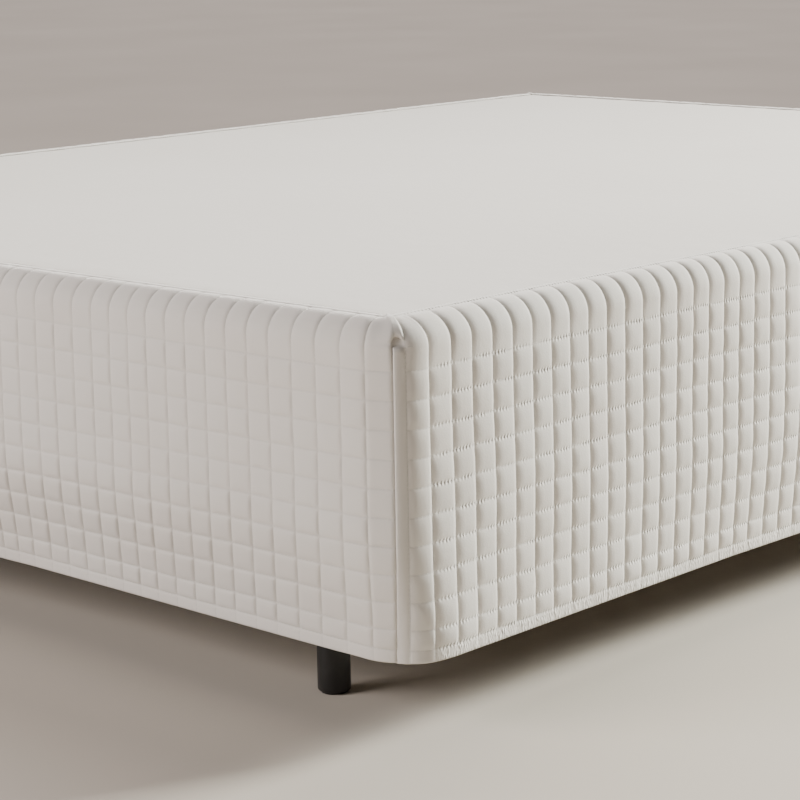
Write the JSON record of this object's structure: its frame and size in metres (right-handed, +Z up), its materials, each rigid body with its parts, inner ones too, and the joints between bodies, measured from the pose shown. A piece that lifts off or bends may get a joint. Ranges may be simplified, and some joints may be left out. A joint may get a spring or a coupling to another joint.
{
  "type": "quilted bed skirt on a bed base",
  "caption": "Fitted bed skirt of square-quilted panels with a turned hem, over a plain bed base on round legs.",
  "frame": {"origin": "centre of the bounding box's bottom, on the floor under the middle of the bed", "axes": "+Z up, +Y from the foot of the bed to its head, +X to the right seen from the foot"},
  "size_m": [1.5464, 2.0474, 0.4255],
  "materials": {
    "quilted_cloth": "off-white brushed microfibre, quilted in small squares, matt",
    "deck_cloth": "plain off-white woven cloth, matt",
    "base_cover": "plain stapled cover cloth over a box frame",
    "leg_black": "black satin paint"
  },
  "bodies": {
    "root": {"bed_base": "base_cover", "leg_foot_left": "leg_black", "leg_middle_left": "leg_black", "leg_head_left": "leg_black", "leg_foot_right": "leg_black", "leg_middle_right": "leg_black", "leg_head_right": "leg_black", "deck_cloth": "deck_cloth", "foot_panel": "quilted_cloth", "right_panel": "quilted_cloth", "head_panel": "quilted_cloth", "left_panel": "quilted_cloth"}
  },
  "joints": []
}
